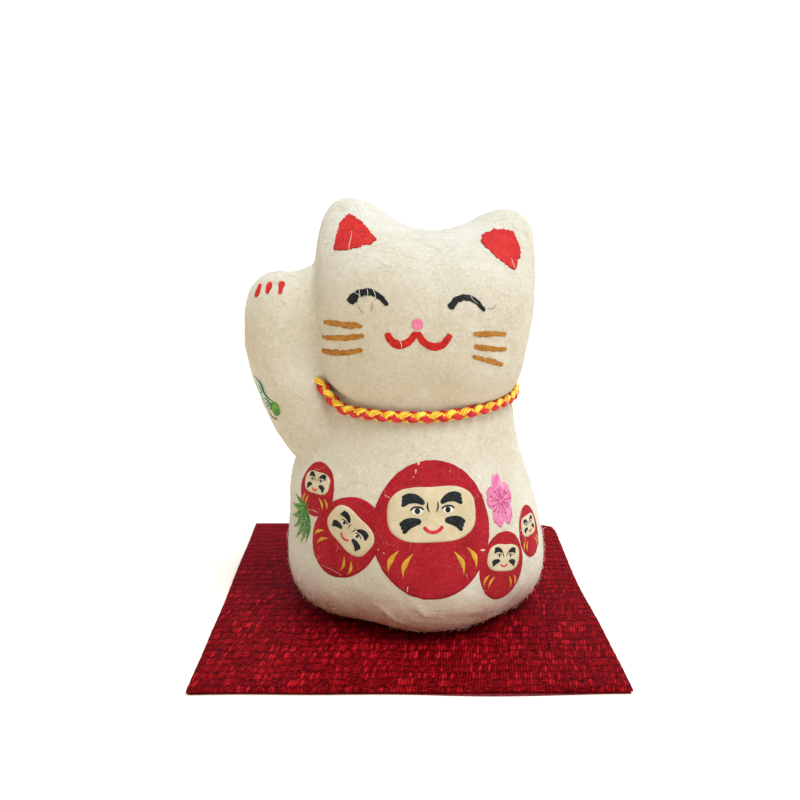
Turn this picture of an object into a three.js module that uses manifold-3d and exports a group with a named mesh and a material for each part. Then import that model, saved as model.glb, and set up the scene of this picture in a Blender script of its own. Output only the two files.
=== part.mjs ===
// A papier-mache beckoning cat on its square cloth mat, as an assembly of separate solids.
// Millimetres, +Z up, the cat faces -Y. The origin is the centre of the mat's underside.
import * as THREE from "three";
import { mergeVertices } from "three/addons/utils/BufferGeometryUtils.js";
import Module from "manifold-3d";

const wasm = await Module();
wasm.setup();

// ---------------------------------------------------------------- driving dimensions
const GAP = 0.3; // clearance kept between pieces that touch or are glued
const SEAT_GAP = 0.1; // the cat's base above the mat

const MAT_SIDE = 80;
const MAT_CORNER = 1.2;
const CLOTH = 0.35; // each layer of the mat's cloth
const LINER = 0.3; // the card between the two layers
const LAYER_GAP = 0.15; // clearance between the mat's layers
const HEM = 1.6; // width of the mat's edge, which has no card in it
const MAT_TOP = 2 * CLOTH + LINER + 2 * LAYER_GAP;

const CAT_AT = new THREE.Vector3(1.9, 0, MAT_TOP + SEAT_GAP);
const SKIN = 0.5; // pasted washi, several layers
const WALL = 1.5; // moulded paper pulp
const BODY_DEPTH = 0.94; // depth of the body over its width

const HEAD_AT = new THREE.Vector3(0.8, -0.5, 61.8);
const HEAD_DEPTH = 21; // half the head's depth
const HEAD_LEAN = 4; // degrees, towards the cat's left ear
const EAR_BACK = 0.07; // the ears' ridge behind the head's middle, over its half depth
const EAR_SPREAD = 0.34; // how far an ear's foot reaches front to back, over the half depth

const NECK_Z = 45.1; // the collar at the throat
const NECK_RADIUS = 20.4; // to the middle of the collar cord, at the sides
const NECK_DEPTH = 0.95; // depth of the collar's loop over its width
const CORD = 2.4; // diameter of the braided cord
const TAIL = 6; // length of the cord's two ends behind the knot

const OPENING = 13; // radius of the hole in the skin under the base
const DISC = 15; // radius of the card disc over that hole
const DISC_THICK = 1;
const PRINT = 0.3; // thickness of the printed paper cut-outs

// ---------------------------------------------------------------- materials
const material = (color, roughness = 0.9) =>
  new THREE.MeshStandardMaterial({ color, roughness, metalness: 0 });
const washi = material(0xece6d6);
const pulp = material(0xb9ae9b, 1);
const card = material(0xa58a63);
const clay = material(0x8c7b68, 1);
const matCloth = material(0x8f1019, 0.75);
const cordYarn = material(0xc9211c, 0.6);
const redPrint = material(0xb81f2b);
const pinkPrint = material(0xd9758f);
const greenPrint = material(0x5f8f4a);

// ---------------------------------------------------------------- solids
// A closed mesh as a solid. Normals and texture coordinates go, so that shared corners merge.
function solid(geometry) {
  const bare = geometry.index ? geometry.toNonIndexed() : geometry.clone();
  bare.deleteAttribute("normal");
  bare.deleteAttribute("uv");
  const merged = mergeVertices(bare, 1e-4);
  const made = new wasm.Manifold(
    new wasm.Mesh({
      numProp: 3,
      vertProperties: merged.attributes.position.array,
      triVerts: new Uint32Array(merged.index.array),
    }),
  );
  return made;
}

// A solid as a named mesh. Of several loose bodies only the largest is kept.
function node(name, shape, finish) {
  const bodies = shape.decompose().sort((a, b) => b.volume() - a.volume());
  const mesh = bodies[0].getMesh();
  const geometry = new THREE.BufferGeometry();
  geometry.setAttribute("position", new THREE.BufferAttribute(mesh.vertProperties, 3));
  geometry.setIndex(new THREE.BufferAttribute(mesh.triVerts, 1));
  const made = new THREE.Mesh(geometry, finish);
  made.name = name;
  return made;
}

const vertexOf = (geometry, i) =>
  new THREE.Vector3().fromBufferAttribute(geometry.attributes.position, i);

// Moves every vertex of a geometry by place(vertex, u, v).
function reshaped(geometry, place) {
  const { position, uv } = geometry.attributes;
  for (let i = 0; i < position.count; i++) {
    const p = place(vertexOf(geometry, i), uv.getX(i), uv.getY(i));
    position.setXYZ(i, p.x, p.y, p.z);
  }
  return geometry;
}

// A half outline (radius, height) turned about Z.
const turned = (outline, segments) =>
  new THREE.LatheGeometry(outline, segments).rotateX(Math.PI / 2);

const slab = (width, depth, low, high, y = 0) =>
  solid(new THREE.BoxGeometry(width, depth, high - low).translate(0, y, (low + high) / 2));

const disc = (radius, low, high, segments = 32) =>
  solid(
    turned(
      [
        new THREE.Vector2(0, low),
        new THREE.Vector2(radius, low),
        new THREE.Vector2(radius, high),
        new THREE.Vector2(0, high),
      ],
      segments,
    ),
  );

// ---------------------------------------------------------------- the cat's outer form
// Half outline of the body: a flat foot, a full round belly, and a neck that runs up into the head.
const bodyOutline = new THREE.Path();
bodyOutline.moveTo(0, 0);
bodyOutline.lineTo(19, 0);
bodyOutline.bezierCurveTo(24.5, 0, 28, 3.6, 28.1, 9.5);
bodyOutline.splineThru([
  new THREE.Vector2(27.5, 15.5),
  new THREE.Vector2(26.5, 22.4),
  new THREE.Vector2(25.2, 28),
  new THREE.Vector2(23.1, 33.5),
  new THREE.Vector2(20.8, 41),
  new THREE.Vector2(20, 46),
  new THREE.Vector2(18, 52),
]);
bodyOutline.bezierCurveTo(16, 57, 8, 60, 0, 60);

// The body's radius at a height, read off the same outline.
const BODY_SAMPLES = bodyOutline.getSpacedPoints(240);
function bodyRadius(z) {
  const above = BODY_SAMPLES.findIndex((p) => p.y >= z && p.y > 0);
  const [a, b] = [BODY_SAMPLES[above - 1], BODY_SAMPLES[above]];
  return THREE.MathUtils.mapLinear(z, a.y, b.y, a.x, b.x);
}

const bump = (x, at, width) => Math.exp(-(((x - at) / width) ** 2));

// How far the low front stands out or falls back, at an angle round from the front.
const foot = (angle, z) =>
  bump(z, 0, 12) *
  (0.4 * bump(angle, 0.15, 0.3) - 2.7 * bump(angle, -0.45, 0.28) - 0.8 * bump(angle, 0.68, 0.2));

// The body leans to the side of the raised arm at the height of its shoulder.
const lean = (z) => -1.6 * bump(z, 30, 9);

// A point of the body, with its distance from the axis.
const bodyPoint = (angle, z, radius) =>
  new THREE.Vector3(
    lean(z) + (radius + foot(angle, z)) * Math.sin(angle),
    -(radius + foot(angle, z)) * Math.cos(angle) * BODY_DEPTH,
    z,
  );

function body(inset, segments, rings) {
  const outline = bodyOutline.getSpacedPoints(rings).map((p, i, all) => {
    const before = all[Math.max(i - 1, 0)];
    const after = all[Math.min(i + 1, all.length - 1)];
    const along = after.clone().sub(before).normalize();
    const moved = new THREE.Vector2(p.x - inset * along.y, p.y + inset * along.x);
    return i === 0 || i === all.length - 1 ? moved.setX(0) : moved;
  });
  return solid(
    reshaped(turned(outline, segments), (p) => {
      const radius = Math.hypot(p.x, p.y);
      return radius < 1e-6
        ? p.setX(lean(p.z))
        : bodyPoint(Math.atan2(p.x, -p.y), p.z, radius);
    }),
  );
}

// Front outline of the head, and the same outline with no ears, both closed curves from the crown.
const mirrored = (half) => [
  ...half,
  ...half
    .slice(1, -1)
    .reverse()
    .map(([x, z]) => [-x, z]),
];
const closedCurve = (half) =>
  new THREE.CatmullRomCurve3(
    mirrored(half).map(([x, z]) => new THREE.Vector3(x, 0, z)),
    true,
  );
const LOWER_FACE = [
  [22.3, 7.5],
  [22.4, 0],
  [21.8, -6],
  [20.4, -12.5],
  [15.5, -19],
  [0, -22],
];
const withEars = closedCurve([
  [0, 16.7],
  [5.5, 17.8],
  [8.9, 19.7],
  [12, 21.7],
  [16.2, 22.9],
  [20.2, 20.8],
  [21.8, 15.6],
  ...LOWER_FACE,
]);
const withoutEars = closedCurve([
  [0, 16.7],
  [5.5, 16.7],
  [9.4, 16.5],
  [13, 15.9],
  [16.6, 14.7],
  [19.4, 12.8],
  [21.3, 10.4],
  ...LOWER_FACE,
]);

function head(inset, segments, rings) {
  const squareness = 0.82; // below 1 the head is fuller than an ellipsoid
  const swell = (x) => Math.sign(x) * Math.abs(x) ** squareness;
  const place = (p, u, v) => {
    const lean = (v - 0.5) * Math.PI; // -90 degrees at the nose, 90 at the back
    const ear = Math.exp(-(((Math.sin(lean) - EAR_BACK) / EAR_SPREAD) ** 2));
    const rim = withoutEars.getPoint(u).lerp(withEars.getPoint(u), ear);
    rim.setLength(rim.length() - inset);
    return rim
      .multiplyScalar(swell(Math.cos(lean)))
      .setY((HEAD_DEPTH - inset) * swell(Math.sin(lean)));
  };
  const shape = reshaped(new THREE.SphereGeometry(1, segments, rings), place);
  shape.rotateY(THREE.MathUtils.degToRad(HEAD_LEAN));
  return solid(shape.translate(HEAD_AT.x, HEAD_AT.y, HEAD_AT.z));
}

// The raised arm: a tapered limb along a curve from the shoulder to the paw.
const armLine = new THREE.QuadraticBezierCurve3(
  new THREE.Vector3(-13.5, -3, 32),
  new THREE.Vector3(-28, -4.5, 43),
  new THREE.Vector3(-27.4, -6, 71.3),
);
const SHOULDER = 8.6;
const PAW = 8.2;

// A point on the arm: share of its length, angle round it from the front, and distance off its surface.
function onArm(share, angle, off) {
  const end = Math.abs(2 * share - 1);
  const radius = THREE.MathUtils.lerp(SHOULDER, PAW, share) * (1 - end ** 5) ** (1 / 2.2);
  const way = armLine.getTangent(share);
  const front = new THREE.Vector3(0, -1, 0).projectOnPlane(way).normalize();
  const side = way.clone().cross(front);
  return armLine
    .getPoint(share)
    .addScaledVector(front, Math.max(radius + off, 0) * Math.cos(angle))
    .addScaledVector(side, Math.max(radius + off, 0) * Math.sin(angle));
}

function arm(inset, segments, rings) {
  const short = inset / armLine.getLength(); // the ends come in by the inset too
  const place = (p, u, v) => {
    const share = THREE.MathUtils.lerp(short, 1 - short, 0.5 - 0.5 * Math.cos(v * Math.PI));
    return onArm(share, u * 2 * Math.PI, v === 0 || v === 1 ? -SHOULDER : -inset);
  };
  return solid(reshaped(new THREE.SphereGeometry(1, segments, rings), place));
}

// The paper web that closes the gap between the paw and the cheek.
const web = (inset, segments, rings) =>
  solid(
    new THREE.SphereGeometry(1, segments, rings)
      .scale(7 - inset, 6.2 - inset, 12 - inset)
      .translate(-21.8, -4.8, 60.2),
  );

// The middle of the collar cord. The raised arm pushes it up at that side, and it is high at the back.
const loopHeight = (angle) =>
  NECK_Z + 3.6 * bump(angle, -1.35, 0.5) + 0.6 * (1 - Math.cos(angle));
const loopPoint = (angle, radius = NECK_RADIUS) =>
  new THREE.Vector3(
    radius * Math.sin(angle),
    -radius * NECK_DEPTH * Math.cos(angle),
    loopHeight(angle),
  );

// The groove that the collar lies in, which runs on as a tunnel between the neck and the arm.
const groove = (inset) =>
  solid(
    reshaped(
      new THREE.TorusGeometry(NECK_RADIUS, CORD / 2 + GAP + inset, 6, 36),
      (p) =>
        new THREE.Vector3(p.x, p.y * NECK_DEPTH, p.z + loopHeight(Math.atan2(p.x, -p.y))),
    ),
  );

// The whole outer form, taken in by an inset. Detail is 1 for the visible surface.
function figure(inset, detail) {
  const fine = (n) => Math.round(n * detail);
  return body(inset, fine(36), fine(22))
    .add(head(inset, fine(40), fine(22)))
    .add(arm(inset, fine(14), fine(12)))
    .add(web(inset, fine(12), fine(8)))
    .subtract(groove(inset));
}

// ---------------------------------------------------------------- skin, shells and what is inside
const INSIDE = 0.55; // detail of every surface that is out of sight
const shellOut = SKIN + GAP;
const shellIn = shellOut + WALL;
const stripOut = shellIn + GAP;
const stripIn = stripOut + SKIN;
const TALL = 100;

const skin = figure(0, 1)
  .subtract(figure(SKIN, INSIDE))
  .subtract(disc(OPENING, -1, SKIN + 2));

const shell = figure(shellOut, INSIDE)
  .subtract(figure(shellIn, INSIDE))
  .subtract(disc(DISC + GAP, -1, shellIn + 2));
const half = (side) =>
  shell.intersect(slab(TALL, TALL, -1, TALL, side * (TALL / 2 + GAP / 2)));

// A paper strip inside the joint of the two half shells.
const STRIP_WIDTH = 7;
const strip = figure(stripOut, INSIDE)
  .subtract(figure(stripIn, INSIDE))
  .intersect(slab(TALL, STRIP_WIDTH, stripIn + 5, TALL));

const discLow = SKIN + GAP;
const discHigh = discLow + DISC_THICK;
const weightLow = discHigh + GAP;
const ballastOutline = new THREE.Path();
ballastOutline.moveTo(0, weightLow);
ballastOutline.lineTo(12, weightLow);
ballastOutline.bezierCurveTo(12.5, weightLow + 4, 9, weightLow + 8, 0, weightLow + 8);

// ---------------------------------------------------------------- collar
// A round bar of several sides along a curve.
function bar(curve, diameter, steps, sides) {
  const round = new THREE.Shape();
  for (let i = 0; i < sides; i++) {
    const turn = (i / sides) * 2 * Math.PI;
    const [x, y] = [(diameter / 2) * Math.cos(turn), (diameter / 2) * Math.sin(turn)];
    i ? round.lineTo(x, y) : round.moveTo(x, y);
  }
  return solid(new THREE.ExtrudeGeometry(round, { steps, extrudePath: curve }));
}

// The cord goes round the neck and stops at each side of the knot, which is at the back.
const KNOT_WIDTH = 4.6;
const open = (KNOT_WIDTH / 2 + GAP) / NECK_RADIUS;
const loop = new THREE.CatmullRomCurve3(
  Array.from({ length: 41 }, (_, i) =>
    loopPoint(THREE.MathUtils.mapLinear(i, 0, 40, open - Math.PI, Math.PI - open)),
  ),
);
const knotAt = loopPoint(Math.PI, NECK_RADIUS + 0.7);
const knot = solid(
  new THREE.SphereGeometry(1, 12, 8)
    .scale(KNOT_WIDTH / 2, CORD * 0.75, CORD * 0.8)
    .translate(knotAt.x, knotAt.y + CORD * 0.3, knotAt.z),
);

// A cord end that comes out under the knot and hangs down the back.
function tail(side) {
  const from = new THREE.Vector3(side * 1.5, knotAt.y + 0.6, knotAt.z - CORD * 0.8 - GAP - 0.2);
  const to = from.clone().add(new THREE.Vector3(side * 1.8, 1.2, -TAIL));
  const bow = from.clone().add(new THREE.Vector3(side * 1.2, 0.9, -TAIL / 2));
  return bar(new THREE.QuadraticBezierCurve3(from, bow, to), CORD * 0.9, 5, 8);
}

// ---------------------------------------------------------------- printed cut-outs
// A point over the body: distance round from the front line, height, and distance off the surface.
function onBody(round, z, off) {
  const radius = bodyRadius(z);
  return bodyPoint(round / radius, z, radius + off);
}

// A thin paper cut-out that lies on a surface. Reach gives its outline as a share of its
// half width and half height at each angle.
function cutout(size, tilt, place, reach) {
  const rings = Math.ceil(Math.max(...size) / 9);
  const face = Array.from({ length: rings + 1 }, (_, i) => new THREE.Vector2(i / rings, 0));
  const back = face.map((p) => new THREE.Vector2(p.x, 1)).reverse();
  const turn = THREE.MathUtils.degToRad(tilt);
  return solid(
    reshaped(turned([...face, ...back], 20), (p) => {
      const share = reach(Math.atan2(p.y, p.x));
      const flat = new THREE.Vector2((p.x * size[0]) / 2, (p.y * size[1]) / 2)
        .multiplyScalar(share)
        .rotateAround(new THREE.Vector2(), turn);
      return place(flat, GAP + p.z * PRINT);
    }),
  );
}
const overBody = (round, z) => (flat, off) => onBody(round + flat.x, z + flat.y, off);
const overArm = (angle, share) => (flat, off) =>
  onArm(share + flat.y / armLine.getLength(), angle + flat.x / PAW, off);

const egg = (angle) => 1 - 0.05 * Math.sin(angle);
const petals = (angle) => 0.86 + 0.14 * Math.cos(5 * (angle - Math.PI / 2));
const leaves = (angle) => 0.72 + 0.28 * Math.cos(6 * angle);
const cloud = (angle) => 0.88 + 0.12 * Math.cos(3 * (angle - Math.PI / 2));

// name, outline, [width, height], tilt in degrees, place, finish
const PRINTS = [
  ["print_daruma_large", egg, [23.2, 25.4], 0, overBody(3, 24.4), redPrint],
  ["print_daruma_tilted", egg, [13.6, 16.8], -38, overBody(-15.6, 21.2), redPrint],
  ["print_daruma_upper", egg, [7.4, 8], 8, overBody(-22.6, 29.8), redPrint],
  ["print_daruma_small", egg, [11, 13.3], -6, overBody(18.4, 15), redPrint],
  ["print_daruma_side", egg, [7.2, 10.3], -4, overBody(28.4, 18.6), redPrint],
  ["print_plum_flower", petals, [8.4, 9.6], 0, overBody(19, 27.2), pinkPrint],
  ["print_bamboo_leaves", leaves, [9, 10.4], 0, overBody(-32.4, 20.6), greenPrint],
  ["print_pine_sprig", cloud, [8.4, 9], 20, overArm(-1.2, 0.47), greenPrint],
];

// ---------------------------------------------------------------- the mat
function square(side, low, high, corner = MAT_CORNER) {
  const s = side / 2;
  const shape = new THREE.Shape();
  shape.moveTo(-s + corner, -s);
  [
    [1, -1, -Math.PI / 2],
    [1, 1, 0],
    [-1, 1, Math.PI / 2],
    [-1, -1, Math.PI],
  ].forEach(([x, y, from]) =>
    shape.absarc(x * (s - corner), y * (s - corner), corner, from, from + Math.PI / 2),
  );
  return solid(
    new THREE.ExtrudeGeometry(shape, {
      depth: high - low,
      bevelEnabled: false,
      curveSegments: 4,
    }).translate(0, 0, low),
  );
}
const linerLow = CLOTH + LAYER_GAP;
const linerHigh = linerLow + LINER;
const topCloth = square(MAT_SIDE, linerLow, MAT_TOP).subtract(
  square(MAT_SIDE - 2 * HEM, linerLow - 1, linerHigh + LAYER_GAP, MAT_CORNER / 2),
);

// ---------------------------------------------------------------- assembly
const mat = new THREE.Group();
mat.add(
  node("mat_under_cloth", square(MAT_SIDE, 0, CLOTH), matCloth),
  node(
    "mat_liner",
    square(MAT_SIDE - 2 * (HEM + GAP), linerLow, linerHigh, MAT_CORNER / 2),
    card,
  ),
  node("mat_top_cloth", topCloth, matCloth),
);

const cat = new THREE.Group();
cat.position.copy(CAT_AT);
cat.add(
  node("washi_skin", skin, washi),
  node("shell_front", half(-1), pulp),
  node("shell_rear", half(1), pulp),
  node("joint_strip", strip, washi),
  node("base_disc", disc(DISC, discLow, discHigh), card),
  node("base_washi", disc(OPENING - GAP, 0, SKIN), washi),
  node("ballast", solid(turned(ballastOutline.getPoints(5), 20)), clay),
  node("collar_cord", bar(loop, CORD, 48, 8), cordYarn),
  node("collar_knot", knot, cordYarn),
  node("collar_tail_left", tail(-1), cordYarn),
  node("collar_tail_right", tail(1), cordYarn),
);
for (const [name, reach, size, tilt, place, finish] of PRINTS)
  cat.add(node(name, cutout(size, tilt, place, reach), finish));

const assembly = new THREE.Group();
assembly.add(mat, cat);
export default assembly;
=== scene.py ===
import bmesh
import bpy
import math
import random
from mathutils import Matrix, Vector, noise
from mathutils.bvhtree import BVHTree


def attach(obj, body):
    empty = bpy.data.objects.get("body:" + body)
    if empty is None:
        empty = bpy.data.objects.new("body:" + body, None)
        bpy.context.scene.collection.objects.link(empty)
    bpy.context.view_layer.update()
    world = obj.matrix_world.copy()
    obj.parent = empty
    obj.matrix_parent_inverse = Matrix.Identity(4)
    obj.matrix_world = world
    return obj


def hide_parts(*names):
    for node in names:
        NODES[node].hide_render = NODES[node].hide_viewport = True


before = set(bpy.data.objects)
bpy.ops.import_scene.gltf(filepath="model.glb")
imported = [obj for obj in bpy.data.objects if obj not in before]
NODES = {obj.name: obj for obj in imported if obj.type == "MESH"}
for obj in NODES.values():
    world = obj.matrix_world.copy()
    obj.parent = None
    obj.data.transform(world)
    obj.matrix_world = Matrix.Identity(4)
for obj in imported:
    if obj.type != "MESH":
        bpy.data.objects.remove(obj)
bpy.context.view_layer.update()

# Everything is made in millimetres, in the row frame, and brought to metres when it becomes an object.
MM = 0.001
MAT_TOP = 1.3
CAT_X = 1.9  # the cat stands a little to one side of the mat's middle
CAT_FOOT = 1.4
dice = random.Random(8)


# ---- camera, light and floor
def make_camera():
    """A camera in front of the cat, a little above its head and tipped down at it."""
    data = bpy.data.cameras.new("camera")
    data.lens = 38.48
    data.sensor_width = 36
    camera = bpy.data.objects.new("camera", data)
    camera.location = (-0.00298, -0.17624, 0.08712)
    swing, tip, roll = -0.0076, 0.2361, 0.0023
    level = Matrix.Rotation(swing, 3, "Z") @ Matrix.Rotation(math.pi / 2 - tip, 3, "X")
    camera.rotation_euler = (level @ Matrix.Rotation(roll, 3, "Z")).to_euler()
    data.clip_start = 0.01
    bpy.context.scene.collection.objects.link(camera)
    bpy.context.scene.camera = camera


def make_sun(name, way, strength, spread, colour):
    """A broad soft light from one side, even over the whole floor."""
    data = bpy.data.lights.new(name, "SUN")
    data.energy = strength
    data.angle = math.radians(spread)
    data.color = colour
    light = bpy.data.objects.new(name, data)
    light.rotation_euler = Vector(way).to_track_quat("Z", "Y").to_euler()
    bpy.context.scene.collection.objects.link(light)


def make_floor():
    """A wide sheet of pale studio paper, just under the mat."""
    wide, below = 6000, 0.05
    bm = new_grid(8, 8, lambda u, v: Vector(((u - 0.5) * wide, (v - 0.5) * wide, -below)))
    paper, _ = new_material("white_studio_paper", Roughness=0.9, Base_Color=linear("#fbecd4"))
    new_object("floor", bm, paper)


def make_world():
    """A studio that is white above, behind and to the right, dimmer and warmer at the left and in front."""
    world = bpy.data.worlds.new("studio")
    bpy.context.scene.world = world
    world.use_nodes = True
    tree = world.node_tree
    way = add(tree, "ShaderNodeTexCoord").outputs["Generated"]
    side = add(tree, "ShaderNodeVectorMath", {0: way, 1: (0.3, 0.45, 0.84)}, operation="DOT_PRODUCT")
    links = {"Value": side.outputs["Value"], "From Min": -0.6, "From Max": 0.26}
    share = add(tree, "ShaderNodeMapRange", links)
    tone = ramp(tree, share.outputs["Result"], (0.0, "#82704f"), (0.7, "#917d5d"), (1.0, "#e0e9ff"))
    tree.links.new(tone, tree.nodes["Background"].inputs["Color"])
    tree.nodes["Background"].inputs["Strength"].default_value = 1.47


# ---- colours and nodes
def linear(hex_colour):
    """An sRGB hex colour as linear RGBA."""
    channels = [int(hex_colour[i : i + 2], 16) / 255 for i in (1, 3, 5)]
    return [c / 12.92 if c <= 0.04045 else ((c + 0.055) / 1.055) ** 2.4 for c in channels] + [1]


def add(tree, kind, links=None, **settings):
    """Adds a node. Settings are its properties, and links gives each input a value or an output socket."""
    made = tree.nodes.new(kind)
    for name, value in settings.items():
        setattr(made, name, value)
    for name, value in (links or {}).items():
        socket = made.inputs[name]
        if isinstance(value, bpy.types.NodeSocket):
            tree.links.new(value, socket)
        else:
            socket.default_value = value
    return made


def ramp(tree, factor, *stops):
    """A colour ramp through (position, hex colour or grey level) stops."""
    made = add(tree, "ShaderNodeValToRGB", {"Fac": factor})
    points = made.color_ramp.elements
    while len(points) < len(stops):
        points.new(1)
    for point, (place, colour) in zip(points, stops):
        point.position = place
        point.color = linear(colour) if isinstance(colour, str) else (colour, colour, colour, 1)
    return made.outputs["Color"]


def blend_colours(tree, factor, a, b):
    """Two colours mixed: each is a hex colour or a socket."""
    made = add(tree, "ShaderNodeMix", data_type="RGBA")
    for name, value in (("Factor", factor), ("A", a), ("B", b)):
        socket = next(s for s in made.inputs if s.name == name and s.enabled)
        if isinstance(value, bpy.types.NodeSocket):
            tree.links.new(value, socket)
        else:
            socket.default_value = linear(value) if isinstance(value, str) else value
    return next(s for s in made.outputs if s.enabled)


def new_material(name, **shader):
    """A material with its shader's own uniform values set. Returns it with its tree."""
    made = bpy.data.materials.new(name)
    made.use_nodes = True
    tree = made.node_tree
    principled = tree.nodes["Principled BSDF"]
    for socket, value in shader.items():
        principled.inputs[socket.replace("_", " ")].default_value = value
    return made, tree


def dressed(made, colour, normal=None):
    """A material with its colour, and its normal where one is given, linked to its shader."""
    tree = made.node_tree
    shader = tree.nodes["Principled BSDF"]
    tree.links.new(colour, shader.inputs["Base Color"])
    if normal:
        tree.links.new(normal, shader.inputs["Normal"])
    return made


def position(tree, turn=(0, 0, 0), stretch=(1, 1, 1)):
    """Object coordinates, turned and stretched."""
    place = add(tree, "ShaderNodeTexCoord").outputs["Object"]
    mapping = {"Vector": place, "Rotation": turn, "Scale": stretch}
    return add(tree, "ShaderNodeMapping", mapping).outputs["Vector"]


def mottle(tree, size_mm, detail=3, roughness=0.55, vector=None):
    """Soft noise with features of a given size."""
    links = {
        "Vector": vector or position(tree),
        "Scale": 1 / (size_mm * MM),
        "Detail": detail,
        "Roughness": roughness,
    }
    return add(tree, "ShaderNodeTexNoise", links).outputs["Fac"]


def fibre_lines(tree, length_mm, width, turn):
    """Thin lines like pressed plant fibres, dark on white: the edges of large warped cells."""
    place = position(tree, turn=turn)
    length = length_mm * MM
    warp = add(tree, "ShaderNodeTexNoise", {"Vector": place, "Scale": 1 / (length * 0.6), "Detail": 2})
    links = {0: warp.outputs["Color"], 1: (length * 0.7,) * 3, 2: place}
    bent = add(tree, "ShaderNodeVectorMath", links, operation="MULTIPLY_ADD").outputs["Vector"]
    links = {"Vector": bent, "Scale": 1 / length}
    cells = add(tree, "ShaderNodeTexVoronoi", links, feature="DISTANCE_TO_EDGE")
    return ramp(tree, cells.outputs["Distance"], (0, 0.0), (width, 1.0))


def bump(tree, height, distance_mm, strength=1, under=None):
    """A normal raised by a height, on top of another normal where one is given."""
    links = {"Height": height, "Distance": distance_mm * MM, "Strength": strength}
    if under:
        links["Normal"] = under
    return add(tree, "ShaderNodeBump", links).outputs["Normal"]


# ---- materials
def washi_material():
    """Handmade kozo paper, bleached off-white and pasted on in torn sheets.

    It is matt, with pressed fibres of all lengths, faint warm clouds and a soft fuzz.
    """
    made, tree = new_material(
        "kozo_washi_paper",
        Roughness=0.95, IOR=1.45, Specular_IOR_Level=0.2, Sheen_Weight=0.1, Sheen_Roughness=0.6,
    )
    clouds = mottle(tree, 14, detail=5, roughness=0.65)
    tone = ramp(tree, clouds, (0.3, "#c8bc9d"), (0.52, "#d0c7ad"), (0.74, "#d8d2bf"))
    long_fibres = fibre_lines(tree, 2.6, 0.05, (0.4, 0.2, 0))
    short_fibres = fibre_lines(tree, 0.9, 0.09, (0, 0.7, 1.1))
    tone = blend_colours(tree, ramp(tree, long_fibres, (0, 0.2), (1, 0.0)), tone, "#ece8dc")
    tone = blend_colours(tree, ramp(tree, short_fibres, (0, 0.16), (1, 0.0)), tone, "#c3b593")
    specks = ramp(tree, mottle(tree, 0.6, detail=4, roughness=0.7), (0.3, 0.3), (0.4, 0.0))
    tone = blend_colours(tree, specks, tone, "#bcae8c")
    # Matted fibre ends: pale tufts and the small pits between them, their fine relief painted in as light on
    # the tufts and shade in the pits.
    tuft_light_and_pit_shade = mottle(tree, 0.6, detail=3, roughness=0.75, vector=position(tree, turn=(0.5, 0.3, 0.8)))
    tone = blend_colours(tree, ramp(tree, tuft_light_and_pit_shade, (0.32, 0.3), (0.5, 0.0)), tone, "#b9ac8a")
    tone = blend_colours(tree, ramp(tree, tuft_light_and_pit_shade, (0.5, 0.0), (0.68, 0.22)), tone, "#ece7d8")
    # Towards the foot the paper is darkened to red-brown: painted shade, reddened as by light thrown up from
    # the mat.
    height = add(tree, "ShaderNodeSeparateXYZ", {"Vector": position(tree)}).outputs["Z"]
    reach = {"Value": height, "From Min": 12.5 * MM, "From Max": 1 * MM, "To Max": 2.0}
    foot_painted_shade = add(tree, "ShaderNodeMapRange", reach).outputs["Result"]
    uneven = add(tree, "ShaderNodeMath", {0: foot_painted_shade, 1: mottle(tree, 5)}, operation="MULTIPLY")
    tone = blend_colours(tree, uneven.outputs["Value"], tone, "#b6644b")
    normal = bump(tree, mottle(tree, 2.4, detail=2), 0.2)
    normal = bump(tree, mottle(tree, 0.75, detail=6, roughness=0.85), 0.26, under=normal)
    normal = bump(tree, long_fibres, 0.06, strength=-0.8, under=normal)
    normal = bump(tree, short_fibres, 0.06, strength=-0.8, under=normal)
    return dressed(made, tone, normal)


def fibre_material():
    """Loose kozo fibres in dried paste: paler and a little glossier than the sheet."""
    made, tree = new_material("kozo_fibre", Roughness=0.6, IOR=1.5)
    tone = ramp(tree, mottle(tree, 5), (0.35, "#d6ccb2"), (0.65, "#ece7da"))
    return dressed(made, tone)


def ink_material(name, dark, mid, light, size_mm=2.2, roughness=0.9, grain=0.07):
    """Ink or paint soaked into the paper: uneven in depth, matt, with the paper's fuzz showing in it."""
    made, tree = new_material(name, Roughness=roughness, IOR=1.45, Specular_IOR_Level=0.2)
    tone = ramp(tree, mottle(tree, size_mm, detail=5, roughness=0.65), (0.3, dark), (0.5, mid), (0.72, light))
    fuzz = mottle(tree, 0.4, detail=4, roughness=0.7)
    tone = blend_colours(tree, ramp(tree, fuzz, (0.3, 0.35), (0.5, 0.0)), tone, dark)
    tone = blend_colours(tree, ramp(tree, fuzz, (0.52, 0.0), (0.78, grain)), tone, "#e6dcc6")
    return dressed(made, tone, bump(tree, mottle(tree, 0.6, detail=6, roughness=0.8), 0.14))


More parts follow.
